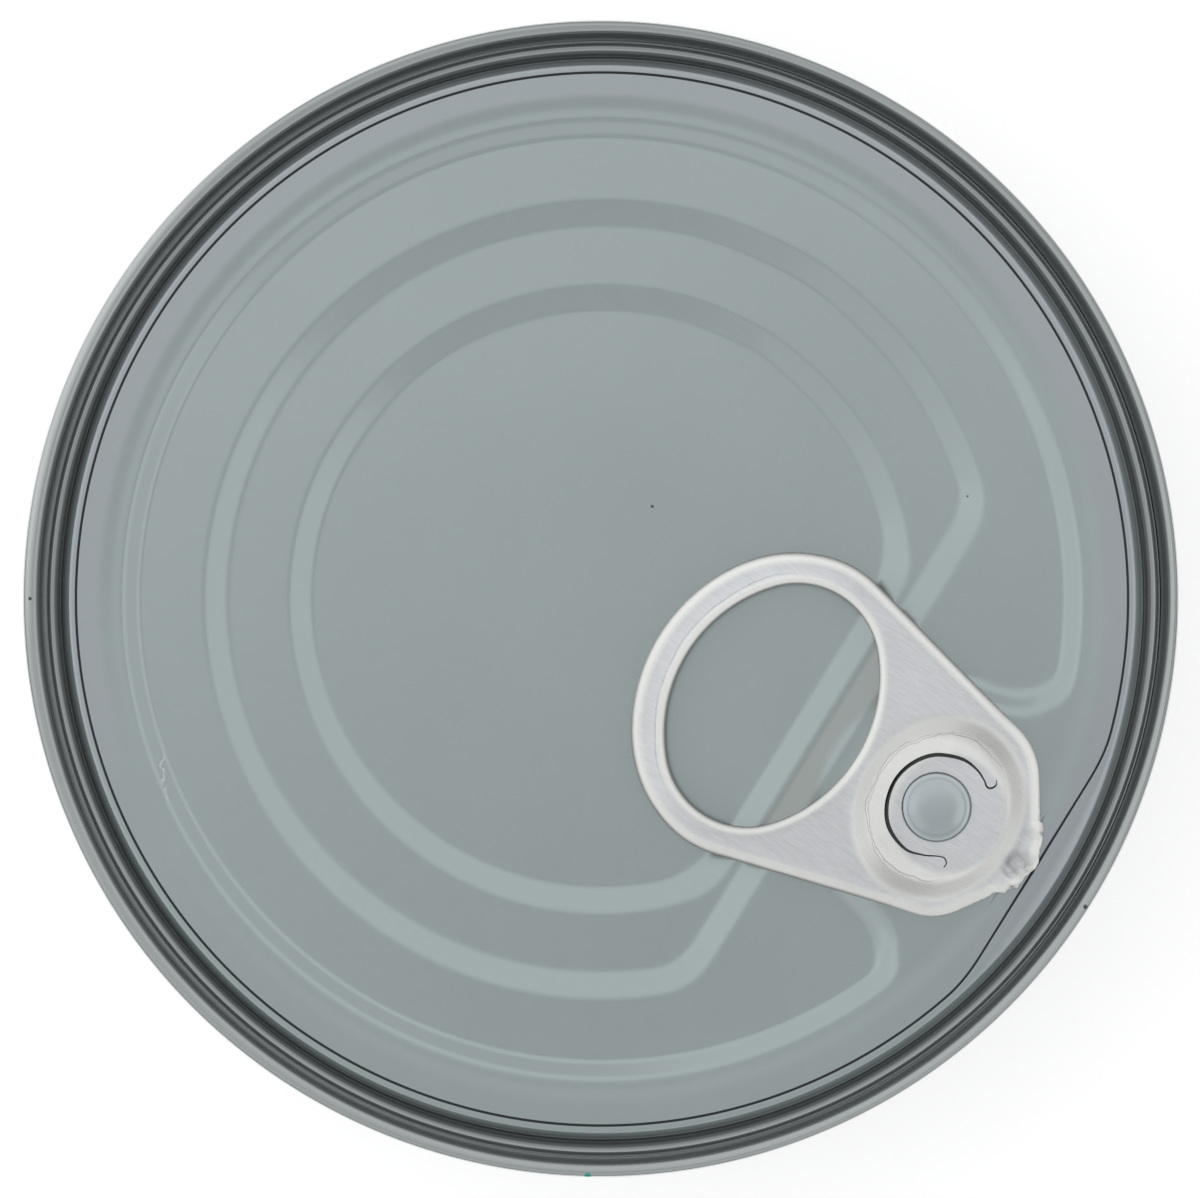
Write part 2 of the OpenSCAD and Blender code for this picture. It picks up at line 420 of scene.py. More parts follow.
@dataclass(frozen=True)
class PullAluminium:
    """Bare aluminium: finely brushed flats, smooth rolled edges and a cup painted brighter as a
    highlight.
    """

    flat: Rgb = (0.575, 0.59, 0.60)
    # roll: colour of the smooth rolled edges and the cup, with a painted highlight in it
    roll: Rgb = (0.75, 0.76, 0.73)
    roughness: float = 0.36
    # cup_shade_turn: heading offset of the painted light and shade on the cup's wall
    cup_shade_turn: float = 2.44
    crumple_at: tuple[float, float] = (37.35, -0.5)

    def material(self) -> bpy.types.Material:
        """Build the finish.

        Returns:
            The material.
        """
        bench, made = Bench.material("pull_aluminium")
        at = bench.place()
        brushed = bench.place(math.radians(-6.0), (0.12, 1.0, 1.0))
        rolled = bench.attribute("rolled")
        streak = bench.noise(brushed, 6.5, 4.0, 0.7, 2.1)
        cloud = bench.noise(at, 0.35, 3.0, 0.55, 5.5)
        fine = bench.noise(at, 7.0, 2.0, 0.6, 9.1)
        x, y, _ = bench.parts(at)
        dx, dy = x - RIVET_X, y - CUP_Y
        turn = dy.heading(dx)
        lean = turn.cosine()
        far = (dx * dx + dy * dy) ** 0.5
        wobble = bench.noise(at, 0.55, 3.0, 0.6, 7.7)
        foot = 5.35 + 0.165 * lean - 0.6 * (lean * lean - 0.5) + 0.9 * (wobble - 0.5)
        behind = lean.step(0.75, 0.2)
        # Painted shade: the creases at the cup's foot and the groove in the ring are darkened in
        # colour as well as bumped
        crease = (far - foot).band(0.0, 0.07) * behind
        second = (far - foot - 0.16 - 0.7 * (cloud - 0.45)).band(0.0, 0.05) * lean.step(0.1, -0.5)
        inner = bench.attribute("inner")
        groove = (inner - 0.80 - 0.35 * (wobble - 0.5)).band(0.0, 0.07) * x.step(13.5, 9.0)
        lines = crease + 0.8 * second + groove * cloud.step(0.30, 0.5)
        # Painted highlight: the rolled edges and the cup take a brighter, warmer colour than the
        # flats
        colour = bench.mix(rolled, self.flat, self.roll)
        plain = 1.0 - 0.7 * rolled
        # Painted light: the pull is a little lighter toward +Y
        tone = 0.91 + 0.08 * cloud + 0.07 * y.step(-8.0, 8.0)
        tone = tone + (0.42 * (streak - 0.5) + 0.16 * x.step(17.0, 10.0)) * plain
        # Painted light and shade: the cup's wall is lighter on one side and darker on the other, by
        # heading
        cup_lit_side = (turn + self.cup_shade_turn).cosine()
        tone = tone * (1.0 + (0.12 * cup_lit_side - 0.07) * far.step(7.3, 6.6) * far.step(4.9, 5.6))
        # Painted shade: the underside is darkened through the stored under value, most on the finger
        # hole's side
        tone = tone * (1.0 - 0.22 * lines) * (1.0 - 0.6 * bench.attribute("under"))
        # Painted shade: the crumpled tip is darkened in streaks, as shade in its folds
        nx, ny = x - self.crumple_at[0], y - self.crumple_at[1]
        crumpled = (nx * nx * 0.8 + ny * ny).step(1.7, 0.4)
        crumpled = crumpled * (0.5 + 1.6 * (bench.noise(at, 3.4, 3.0, 0.6, 6.3) - 0.4))
        tone = tone * (1.0 - 0.26 * crumpled)
        rough = self.roughness + 0.16 * (streak - 0.5) + 0.05 * (cloud - 0.5)
        normal = bench.bump(streak * plain, 0.030)
        normal = bench.bump(fine - 0.6 * cloud - 1.6 * lines, 0.010, normal)
        bench.finish(Base_Color=bench.shade(colour, tone), Metallic=1.0, Roughness=rough,
                     Normal=normal)
        return made


@dataclass(frozen=True)
class BodySteel:
    """Clear-lacquered drawn steel of the can's side and base."""

    colour: Rgb = (0.46, 0.485, 0.485)
    roughness: float = 0.3

    def material(self) -> bpy.types.Material:
        """Build the finish.

        Returns:
            The material.
        """
        bench, made = Bench.material("body_steel")
        at = bench.place()
        drawn = bench.place(0.0, (1.0, 1.0, 0.06))
        streak = bench.noise(drawn, 1.6, 4.0, 0.6, 3.4)
        cloud = bench.noise(at, 0.05, 3.0, 0.55, 6.1)
        fine = bench.noise(at, 6.0, 2.0, 0.6, 2.8)
        tone = 0.92 + 0.10 * cloud + 0.06 * (streak - 0.5)
        rough = self.roughness + 0.10 * (streak - 0.5) + 0.05 * (cloud - 0.5)
        normal = bench.bump(fine, 0.0015, bench.bump(streak, 0.006))
        bench.finish(Base_Color=bench.shade(self.colour, tone), Metallic=0.95, Roughness=rough,
                     Normal=normal, Coat_Weight=0.3, Coat_Roughness=0.15)
        return made


# ---------------------------------------------------------------- mesh helpers


def soft_ramp(t: np.ndarray, foot: float = 0.12, head: float = 0.2) -> np.ndarray:
    """Return a ramp from 0 to 1 that is straight with rounded ends.

    Args:
        t: position across the ramp, 0 at its head and 1 at its foot.
        foot: share of the width that is rounded at the foot.
        head: share that is rounded at the head.

    Returns:
        The ramp's value.
    """
    t = np.clip(t, 0.0, 1.0)
    slope = 1.0 / (1.0 - 0.5 * (foot + head))
    low = slope * t * t / (2.0 * head)
    mid = slope * (t - 0.5 * head)
    high = 1.0 - slope * (1.0 - t) ** 2 / (2.0 * foot)
    return np.where(t < head, low, np.where(t > 1.0 - foot, high, mid))


def bell(t: Any, at: float, half: float) -> Any:
    """Return a bump of height 1 around a value."""
    return np.exp(-(((t - at) / half) ** 2))


def inside_both(a: np.ndarray, b: np.ndarray, radius: float) -> np.ndarray:
    """Intersect two signed distances with a rounded corner.

    Args:
        a: first distance, negative inside.
        b: second distance.
        radius: radius of the corner.

    Returns:
        The joined distance.
    """
    outer = np.hypot(np.maximum(a + radius, 0.0), np.maximum(b + radius, 0.0))
    return np.minimum(np.maximum(a, b) + radius, 0.0) + outer - radius


def blend_min(a: np.ndarray, b: np.ndarray, k: float) -> np.ndarray:
    """Return the smaller of two values with a smooth join.

    Args:
        a: first value.
        b: second value.
        k: width of the join.

    Returns:
        The smooth minimum.
    """
    h = np.clip(0.5 + 0.5 * (b - a) / k, 0.0, 1.0)
    return b + (a - b) * h - k * h * (1.0 - h)


def make_object(name: str, verts: np.ndarray, faces: Iterable[Sequence[int]],
                material: bpy.types.Material, smooth: bool = True) -> bpy.types.Object:
    """Make a mesh object in metres from points in millimetres.

    Args:
        name: the piece's name.
        verts: points, one row each.
        faces: corner numbers of each face.
        material: its finish.
        smooth: whether it is shaded smooth.

    Returns:
        The object, at the origin.
    """
    mesh = bpy.data.meshes.new(name)
    mesh.from_pydata((np.asarray(verts) * MM).tolist(), [], [list(f) for f in faces])
    mesh.validate()
    mesh.update()
    if smooth:
        mesh.shade_smooth()
    mesh.materials.append(material)
    made = bpy.data.objects.new(name, mesh)
    bpy.context.scene.collection.objects.link(made)
    return made


def store(obj: bpy.types.Object, name: str, values: np.ndarray) -> None:
    """Store a named number on each point of a piece."""
    layer = obj.data.attributes.new(name, "FLOAT", "POINT")
    layer.data.foreach_set("value", np.asarray(values, dtype=np.float32))


def close_stack(rings: Sequence[np.ndarray], top: Sequence[float],
                low: Sequence[float]) -> tuple[np.ndarray, list[tuple[int, ...]]]:
    """Join closed rings of equal count, and close both ends in a middle point.

    Args:
        rings: the rings, running outward on top and round to the underside, anticlockwise.
        top: middle point of the first ring.
        low: middle point of the last ring.

    Returns:
        The points and the faces, facing out.
    """
    verts = np.vstack([*rings, [top, low]])
    count, last = len(rings[0]), (len(rings) - 1) * len(rings[0])
    after = [(j, (j + 1) % count) for j in range(count)]
    faces: list[tuple[int, ...]] = []
    for a in range(0, last, count):
        faces += [(a + j, a + count + j, a + count + k, a + k) for j, k in after]
    for j, k in after:
        faces.append((len(verts) - 2, j, k))
        faces.append((len(verts) - 1, last + k, last + j))
    return verts, faces


# ---------------------------------------------------------------- lid


def wall_share(head: np.ndarray, foot: np.ndarray) -> np.ndarray:
    """Return the share of a wall passed between its head and its foot."""
    return -head / np.maximum(foot - head, 1e-6)


@dataclass(frozen=True)
class Recess:
    """Wall of a recess that is round with one straight side; "uneven" is how it wavers."""

    head_r: float
    foot_r: float
    head_x: float
    foot_x: float
    head_round: float
    foot_round: float
    head_uneven: float
    foot_uneven: float

    def share(self, r: np.ndarray, x: np.ndarray, uneven: np.ndarray) -> np.ndarray:
        """Return how far down the wall points lie.

        Args:
            r: distance of each point from the can's axis.
            x: X of each point.
            uneven: how far the wall stands outward there.

        Returns:
            0 outside the wall's head, 1 inside its foot.
        """
        head = inside_both(r - self.head_r - self.head_uneven * uneven, x - self.head_x,
                           self.head_round)
        foot = inside_both(r - self.foot_r - self.foot_uneven * uneven, x - self.foot_x,
                           self.foot_round)
        return soft_ramp(wall_share(head, foot), 0.06, 0.12)


@dataclass
class Lid:
    """Easy-open lid: seam, countersink, score line, stepped panel and rivet.

    The seam stands a little off the axis at its inner edge, by "offset" toward "offset_to".
    """

    material: bpy.types.Material
    seam_r: float = 43.65
    can_h: float = 38.0
    lid_z: float = 33.0
    panel_drop: float = 2.8
    ledge: float = 0.06
    step: float = 0.45
    inner_step: float = 0.39
    outer_wall: tuple[float, float] = (36.5, 35.02)
    middle: Recess = Recess(30.25, 28.35, 21.5, 19.75, 1.6, 1.2, 1.0, 0.8)
    inmost: Recess = Recess(23.78, 21.97, 19.05, 17.5, 1.2, 2.2, 0.6, 1.2)
    crown: float = 0.35
    crown_r: float = 36.6
    rivet_r: float = 2.65
    score_r: float = 39.87
    score_x: float = 38.62
    score_half: float = 0.10
    score_depth: float = 0.2
    shoulder_r: float = 40.18
    offset: float = 0.22
    offset_to: float = math.radians(46.8)
    segments: int = 480
    rivet_segments: int = 96

    @property
    def panel_z(self) -> float:
        """Height of the panel outside the ledge."""
        return self.can_h - self.panel_drop

    def score_path(self, angle: np.ndarray) -> np.ndarray:
        """Return the score line's radius at each angle about the can's axis."""
        across = np.cos(angle)
        straight = np.where(across > 0.3, self.score_x / np.maximum(across, 0.3), 99.0)
        return blend_min(np.full_like(angle, self.score_r), straight, 0.5)

    def land(self, x: np.ndarray, y: np.ndarray, island: float, back: float) -> np.ndarray:
        """Return the distance to the raised land round the rivet and nose.

        Args:
            x: X of each point.
            y: Y of each point.
            island: radius of the island round the rivet.
            back: how far the side walls stand off.

        Returns:
            The distance, negative on the land.
        """
        round_part = np.hypot(x - RIVET_X, y) - island
        side = -0.796 * (x - 31.3) + 0.605 * (np.abs(y) - 8.45) - back
        return blend_min(round_part, side, 2.2)

    def relief(self, x: np.ndarray, y: np.ndarray) -> np.ndarray:
        """Return the panel's height.

        Args:
            x: X of each point.
            y: Y of each point.

        Returns:
            The height in millimetres.
        """
        r = np.hypot(x, y)
        turn = np.arctan2(y, x)

        def lump(at: float, half: float) -> np.ndarray:
            """Return a bump of height 1 round one angle, in degrees."""
            return bell((np.degrees(turn) - at + 180.0) % 360.0, 180.0, half)

        pressed = 0.25 + 0.75 * soft_ramp(np.cos(turn - 2.27) + 0.6, 0.4, 0.4)
        drop = self.ledge * pressed * soft_ramp((38.25 - r) / 1.25, 0.3, 0.3)
        drop += self.ledge * (1.0 - pressed) * soft_ramp((38.6 - r) / 6.0, 0.3, 0.3)
        head = inside_both(r - self.outer_wall[0], -self.land(x, y, 8.45, 0.0), 1.2)
        foot = inside_both(r - self.outer_wall[1], -self.land(x, y, 9.9, 1.45), 1.0)
        under_web = np.where(np.hypot(x - RIVET_X, y) < 14.0, (27.8 - x) / 5.8, 0.0)
        drop += self.step * np.maximum(soft_ramp(wall_share(head, foot), 0.08, 0.22),
                                       soft_ramp(under_web, 0.3, 0.3))
        uneven = 0.17 * lump(88.8, 6.0) + 0.08 * lump(106.0, 9.0) - 0.07 * lump(140.0, 12.0)
        drop += self.inner_step * self.middle.share(r, x, uneven)
        uneven += 0.06 * lump(60.0, 8.0) - 0.09 * lump(176.0, 10.0)
        drop += self.inner_step * self.inmost.share(r, x, uneven)
        crown = self.crown * np.clip(1.0 - (r / self.crown_r) ** 2, 0.0, 1.0)
        bead = 0.006 * lump(-80.0, 40.0) * bell(r, 36.75, 0.16)
        return self.panel_z - drop + crown + bead

    def rim_profile(self) -> list[tuple[float, float, float]]:
        """Return the section from the panel's shoulder out and round to the underside.

        Returns:
            Radius, height and share of the chuck's offset of each point.
        """
        z = self.panel_z
        steep, turn = math.radians(86), math.radians(12)
        drop = z - 1.2 * math.cos(turn)
        points = [(40.03 + 1.2 * math.sin(a), drop + 1.2 * math.cos(a), 0.0)
                  for a in np.linspace(turn, steep, 12)]
        points += [(41.32, 33.85, 0.0), (41.44, 33.7, 0.0), (41.54, 33.62, 0.0),
                   (41.66, 33.6, 0.0), (41.9, 33.6, 0.0), (42.03, 33.64, 0.0),
                   (42.1, 33.76, 0.0), (42.14, 34.1, 0.05), (42.22, 34.8, 0.2),
                   (42.36, 35.7, 0.45), (42.5, 36.6, 0.75), (42.6, 37.2, 0.95)]
        points += [(43.09 - 0.46 * math.cos(a), 37.58 + 0.34 * math.sin(a), 1.0)
                   for a in np.linspace(0.3, math.pi / 2, 7)]
        points += [(43.21, 37.935, 0.6), (43.28, 37.935, 0.3)]
        points += [(self.seam_r - 0.35 + 0.35 * math.sin(a), 37.575 + 0.35 * math.cos(a), 0.0)
                   for a in np.linspace(0.12, math.pi / 2, 10)]
        points += [(self.seam_r, 36.6, 0.0), (self.seam_r, 35.6, 0.0)]
        points += [(self.seam_r - 0.3 + 0.3 * math.cos(a), 35.3 - 0.3 * math.sin(a), 0.0)
                   for a in np.linspace(0.2, math.pi / 2, 4)]
        points += [(42.55, 35.0, 0.0), (42.25, 35.0, 0.0), (42.25, self.lid_z, 0.0),
                   (30.0, self.lid_z, 0.0)]
        return points

    def build_sheet(self) -> bpy.types.Object:
        """Build the lid's sheet with its seam as one closed shell.

        Returns:
            The object.
        """
        angle = np.linspace(0.0, 2.0 * math.pi, self.segments, endpoint=False)
        half = self.score_half
        base = [*np.arange(1.0, 16.0, 1.0), *np.arange(16.0, 31.2, 0.25),
                *np.arange(31.4, 34.4, 0.4), *np.arange(34.5, 38.5, 0.17), 38.75, 39.0, 39.25]
        base += [self.score_r + k * half for k in (-2.4, -1.25, -1.0, -0.45, 0.45, 1.0, 1.25, 2.4)]
        base += [self.shoulder_r]
        path = self.score_path(angle)
        rings: list[np.ndarray] = []
        scored: list[bool] = []
        for r in base:
            pull = np.clip((r - 37.2) / 1.4, 0.0, 1.0)
            pull = pull * pull * (3 - 2 * pull) if r < self.shoulder_r else 0.75
            radius = r + pull * (path - self.score_r)
            x, y = radius * np.cos(angle), radius * np.sin(angle)
            scored.append(abs(r - self.score_r) < half * 0.6)
            z = self.relief(x, y) - self.score_depth * scored[-1]
            rings.append(np.column_stack([x, y, z]))
        for r, z, share in self.rim_profile():
            radius = r + share * self.offset * np.cos(angle - self.offset_to)
            rings.append(np.column_stack([radius * np.cos(angle), radius * np.sin(angle),
                                          np.full(self.segments, z)]))
        middle = float(self.relief(np.zeros(1), np.zeros(1))[0])
        verts, faces = close_stack(rings, (0.0, 0.0, middle), (0.0, 0.0, self.lid_z))
        made = make_object("lid_sheet", verts, faces, self.material)
        mask = np.zeros(len(verts))
        mask[:len(base) * self.segments] = np.repeat(scored, self.segments)
        store(made, "score", mask)
        return made

    def build_rivet(self) -> bpy.types.Object:
        """Build the rivet's head and shank as one closed shell.

        Returns:
            The object.
        """
        z, foot = TONGUE_Z, TONGUE_Z - 0.6
        profile = [(0.6, z + 0.507), (1.1, z + 0.492), (1.5, z + 0.466), (1.8, z + 0.432),
                   (1.98, z + 0.395), (2.08, z + 0.37), (2.18, z + 0.362), (2.32, z + 0.352),
                   (2.46, z + 0.33), (2.56, z + 0.29), (2.62, z + 0.22), (self.rivet_r, z + 0.1),
                   (2.6, z - 0.005), (1.6, z - 0.005), (1.6, foot)]
        angle = np.linspace(0.0, 2.0 * math.pi, self.rivet_segments, endpoint=False)
        rings = [np.column_stack([RIVET_X + r * np.cos(angle), r * np.sin(angle),
                                  np.full(len(angle), h)]) for r, h in profile]
        verts, faces = close_stack(rings, (RIVET_X, 0.0, z + 0.512), (RIVET_X, 0.0, foot))
        return make_object("rivet", verts, faces, self.material)

    def build(self) -> list[bpy.types.Object]:
        """Build the lid's pieces and return them."""
        return [self.build_sheet(), self.build_rivet()]


# ---------------------------------------------------------------- ring pull


@dataclass
class RingPull:
    """Riveted ring pull: ring, web, dished cup, slotted tongue and torn nose.

    The hole and the ring are given by half length, half width and the radius of their ends, the
    neck and the nose by X, Y and radius, and each chip of the torn edge by height, Y and width.
    """

    material: bpy.types.Material
    ring_x: float = 15.4
    hole: tuple[float, float, float] = (7.48, 9.70, 6.13)
    hole_x: float = 15.3
    ring: tuple[float, float, float] = (9.75, 12.15, 7.9)
    neck: tuple[float, float, float] = (31.0, 3.0, 5.2)
    nose: tuple[float, float, float] = (35.4, 0.0, 3.2)
    base_z: float = 35.2
    top_z: float = 36.85
    sheet: float = 0.42
    sag: float = 0.06
    nose_drop: float = 0.52
    dish: float = 0.95
    rivet_hole: float = 1.75
    outer_roll: float = 0.68
    inner_roll: float = 0.52
    spacing: float = 0.24
    chips: tuple[tuple[float, float, float], ...] = (
        (0.26, 2.8, 0.34), (0.14, 2.1, 0.3), (-0.14, -0.85, 0.28), (0.10, 0.2, 0.35),
        (0.24, -1.85, 0.3), (0.22, -2.6, 0.3), (-0.10, -3.3, 0.3), (-0.08, 1.25, 0.2))

    @staticmethod
    def oval(a: float, b: float, r: float, count: int) -> np.ndarray:
        """Return a four-arc oval.

        Args:
            a: half length along X.
            b: half length along Y.
            r: radius of the Y ends.
            count: points round it.

        Returns:
            The points, anticlockwise from the -Y side.
        """
        large = (a * a + (b - r) ** 2 - r * r) / (2 * (a - r))
        split = math.atan2(b - r, large - a)
        arcs = []
        for middle, radius, start, end in (
                ((a - large, 0.0), large, -split, split), ((0.0, b - r), r, split, math.pi - split),
                ((large - a, 0.0), large, math.pi - split, math.pi + split),
                ((0.0, r - b), r, math.pi + split, 2 * math.pi - split)):
            t = np.linspace(start, end, count // 4, endpoint=False)
            arcs.append(np.column_stack([middle[0] + radius * np.cos(t),
                                         middle[1] + radius * np.sin(t)]))
        return np.vstack(arcs)

    def outline(self, inset: float) -> np.ndarray:
        """Return the pull's outline drawn in by a distance.

        Args:
            inset: the distance.

        Returns:
            The points, anticlockwise from the nose.
        """
        a, b, r = self.ring
        large = (a * a + (b - r) ** 2 - r * r) / (2 * (a - r))
        far = math.pi - math.atan2(b - r, large - a)
        middles = [np.array(self.nose[:2]), np.array(self.neck[:2]),
                   np.array([self.ring_x, b - r])]
        radii = [self.nose[2] - inset, self.neck[2] - inset, r - inset]
        turns = [0.0]
        for i in (0, 1):
            gap = middles[i + 1] - middles[i]
            lean = math.acos((radii[i] - radii[i + 1]) / np.linalg.norm(gap))
            turns.append(math.atan2(gap[1], gap[0]) - lean)
        turns.append(far)
        points = []
        counts = (16, 22, 44)
        for i in range(3):
            for t in np.linspace(turns[i], turns[i + 1], counts[i]):
                points.append(middles[i] + radii[i] * np.array([math.cos(t), math.sin(t)]))
        for t in np.linspace(far, math.pi, 20):
            points.append(np.array([self.ring_x - a + large, 0.0])
                          + (large - inset) * np.array([math.cos(t), math.sin(t)]))
        half = np.array(points)
        whole = np.vstack([half, half[-2:0:-1] * [1.0, -1.0]])
        back = soft_ramp((13.0 - whole[:, 0]) / 6.0, 0.5, 0.5)
        whole[:, 1] += 0.02 * back * whole[:, 1] + 0.3 * bell(whole[:, 0], 30.0, 4.2)
        whole[:, 0] -= 0.4 * back
        return whole

    @staticmethod
    def resample(points: np.ndarray, spacing: float) -> np.ndarray:
        """Return the points of a closed line again, evenly spaced.

        Args:
            points: the line's points.
            spacing: distance between the new points.

        Returns:
            The new points.
        """
        closed = np.vstack([points, points[:1]])
        gaps = np.hypot(*np.diff(closed, axis=0).T)
        along = np.concatenate([[0.0], np.cumsum(gaps)])
        count = max(12, int(round(along[-1] / spacing)))
        wanted = np.linspace(0.0, along[-1], count, endpoint=False)
        return np.column_stack([np.interp(wanted, along, closed[:, i]) for i in (0, 1)])

    @staticmethod
    def distance(points: np.ndarray, line: np.ndarray) -> np.ndarray:
        """Return each point's distance to a closed line.

        Args:
            points: the points.
            line: the closed line.

        Returns:
            The distances.
        """
        best = np.full(len(points), 1e9)
        ends = np.roll(line, -1, axis=0)
        for a, b in zip(line, ends):
            ab = b - a
            t = np.clip(((points - a) @ ab) / max(ab @ ab, 1e-12), 0.0, 1.0)
            best = np.minimum(best, np.hypot(*(points - a - t[:, None] * ab).T))
        return best

    @staticmethod
    def within(points: np.ndarray, line: np.ndarray) -> np.ndarray:
        """Return which points lie inside a closed line.

        Args:
            points: the points.
            line: the closed line.

        Returns:
            True for each point inside.
        """
        x, y = points[:, 0], points[:, 1]
        inside = np.zeros(len(points), dtype=bool)
        ends = np.roll(line, -1, axis=0)
        for (ax, ay), (bx, by) in zip(line, ends):
            if ay == by:
                continue
            hit = ((ay > y) != (by > y)) & (x < (bx - ax) * (y - ay) / (by - ay) + ax)
            inside ^= hit
        return inside

    def torn(self, points: np.ndarray, depth: float) -> np.ndarray:
        """Roughen the nose's end, where it was cropped from its strip.

        Args:
            points: points of an outline.
            depth: how strongly the outline is moved.

        Returns:
            The moved points.
        """
        x, y = points[:, 0], points[:, 1]
        near = np.clip((x - 35.9) / 0.8, 0.0, 1.0)
        out = 0.035 * np.sin(17.0 * y + 0.7) + 0.02 * np.sin(31.0 * y)
        for height, at, half in self.chips:
            out = out + height * bell(y, at, half)
        way = points - np.array([34.8, 0.0])
        way /= np.maximum(np.hypot(*way.T), 1e-9)[:, None]
        return points + way * (depth * near * out)[:, None]

    def slot_line(self) -> np.ndarray:
        """Return the closed outline of the slot that frees the tongue.

        Its middle line runs through points given as X, Y and width, from the cup's middle.

        Returns:
            The outline's points.
        """
        lower = [(2.86, -3.66, 0.09), (2.86, -3.28, 0.10), (2.5, -3.02, 0.10),
                 (1.95, -3.2, 0.10), (1.0, -3.68, 0.13), (-0.4, -3.98, 0.20),
                 (-2.2, -3.28, 0.31), (-3.3, -1.85, 0.30)]
        upper = [(-3.72, 0.0, 0.27), (-3.32, 1.75, 0.30), (-2.2, 3.22, 0.31),
                 (-0.4, 4.02, 0.27), (1.0, 3.98, 0.17), (1.95, 3.58, 0.12),
                 (2.40, 3.26, 0.15), (2.74, 3.32, 0.16), (2.94, 3.70, 0.13), (2.76, 4.08, 0.07)]
        control = np.array(lower + upper)
        fine_t = np.linspace(0, len(control) - 1, 150)
        line = np.column_stack([self.spline(control[:, i], fine_t) for i in (0, 1)])
        wide = np.interp(fine_t, np.arange(len(control)), control[:, 2])
        along = np.gradient(line, axis=0)
        along /= np.maximum(np.hypot(*along.T), 1e-9)[:, None]
        side = np.column_stack([-along[:, 1], along[:, 0]]) * (0.5 * wide[:, None])
        loop = np.vstack([line + side, (line - side)[::-1]])
        return loop + [RIVET_X, CUP_Y]

    def slot_ring(self) -> np.ndarray:
        """Return the middle of the slot as a closed line round the tongue's root."""
        loop = self.slot_line()
        return 0.5 * (loop[:len(loop) // 2] + loop[len(loop) // 2:][::-1])

    @staticmethod
    def spline(values: np.ndarray, at: np.ndarray) -> np.ndarray:
        """Return a smooth curve through evenly numbered values.

        Args:
            values: the values.
            at: positions between 0 and the last number.

        Returns:
            The curve's value at each position.
        """
        padded = np.concatenate([[2 * values[0] - values[1]], values,
                                 [2 * values[-1] - values[-2]]])
        i = np.clip(at.astype(int), 0, len(values) - 2)
        t = at - i
        p0, p1, p2, p3 = padded[i], padded[i + 1], padded[i + 2], padded[i + 3]
        return 0.5 * (2 * p1 + (p2 - p0) * t + (2 * p0 - 5 * p1 + 4 * p2 - p3) * t ** 2
                      + (3 * p1 - p0 - 3 * p2 + p3) * t ** 3)

    def cup_edges(self, points: np.ndarray) -> tuple[np.ndarray, np.ndarray, np.ndarray]:
        """Return where points lie against the cup round the rivet.

        Args:
            points: the points.

        Returns:
            Distance from the rivet, radius of the cup's head and of its foot.
        """
        dx, dy = points[:, 0] - RIVET_X, points[:, 1] - CUP_Y
        turn = np.arctan2(dy, dx)
        head = 6.95 + 0.22 * np.cos(turn) - 0.50 * np.cos(2 * turn)
        foot = 5.20 + 0.12 * np.cos(turn) - 0.25 * np.cos(2 * turn)
        return np.hypot(dx, dy), head, foot

    def top(self, points: np.ndarray, outer: np.ndarray,
            inner: np.ndarray) -> tuple[np.ndarray, np.ndarray]:
        """Return the height of the upper face and where the rolled edges and cup get a painted
        highlight.

        Args:
            points: the points.
            outer: their distance to the outline.
            inner: their distance to the finger hole.

        Returns:
            The heights, and a mask of the rolled edges and the cup, painted brighter as a highlight.
        """
        x, y = points[:, 0], points[:, 1]
        far, head, foot = self.cup_edges(points)
        ahead = np.cos(np.arctan2(y - CUP_Y, x - RIVET_X))

        def edge(t: np.ndarray, rho: float) -> np.ndarray:
            """Return the drop of a rolled edge at a distance from it."""
            left = np.clip(1.0 - t / rho, 0.0, 1.0)
            return 0.62 * rho * (1.0 - np.sqrt(1.0 - 0.86 * left ** 2))

        sag = self.sag * soft_ramp((outer - 0.55) / 0.7, 0.5, 0.5)
        sag *= soft_ramp((inner - 0.45) / 0.5, 0.5, 0.5)
        height = self.top_z - edge(outer, self.outer_roll) - edge(inner, self.inner_roll) - sag
        seam = bell(inner, 0.72, 0.10) * np.clip(1.4 - (x - 7.0) / 6.0, 0.0, 1.0)
        height -= 0.035 * seam * (0.55 + 0.45 * np.sin(2.2 * np.arctan2(y, x - self.ring_x) + 2.4))
        behind = soft_ramp(0.45 - ahead, 0.3, 0.3)
        rise = soft_ramp((far - 3.1) / 0.5, 0.3, 0.3) * behind
        rise = np.where(self.within(points, self.slot_ring()), 0.0, rise)
        low = 1.0 - self.nose_drop * soft_ramp((x - 26.5) / 8.0, 0.5, 0.5)
        height = TONGUE_Z + (height - TONGUE_Z) * low
        floor = TONGUE_Z + self.dish * rise
        into = soft_ramp((head - far) / (head - foot), 0.25, 0.3)
        height = height * (1.0 - into) + np.minimum(floor, height) * into
        fold = soft_ramp((x - 36.2) / 0.9, 0.4, 0.4) * np.clip(outer / 0.25, 0.3, 1.0)
        fork = np.clip(1.0 - np.abs(y + 0.45 - 0.25 * (x - 37.0)) / 1.05, 0.0, 1.0)
        ridge = 0.13 * bell(y, -1.95, 0.34) + 0.09 * bell(y, 2.6, 0.4) - 0.10 * bell(y, 1.75, 0.25)
        height += fold * (ridge - 0.30 * fork + 0.04 * np.sin(9.0 * y + 2.5 * x))
        # Mask of the painted highlight: the rolled edges, then the cup
        rolled = 1.0 - soft_ramp((np.minimum(outer, 1.2 * inner) - 0.5) / 0.45, 0.5, 0.5)
        cup = soft_ramp((head + 0.15 - far) / 0.8, 0.5, 0.5) * soft_ramp(
            (far - 4.0 - 1.1 * ahead) / 0.7, 0.5, 0.5)
        return height, np.clip(np.maximum(rolled, cup) - 0.55 * fold * fork, 0.0, 1.0)

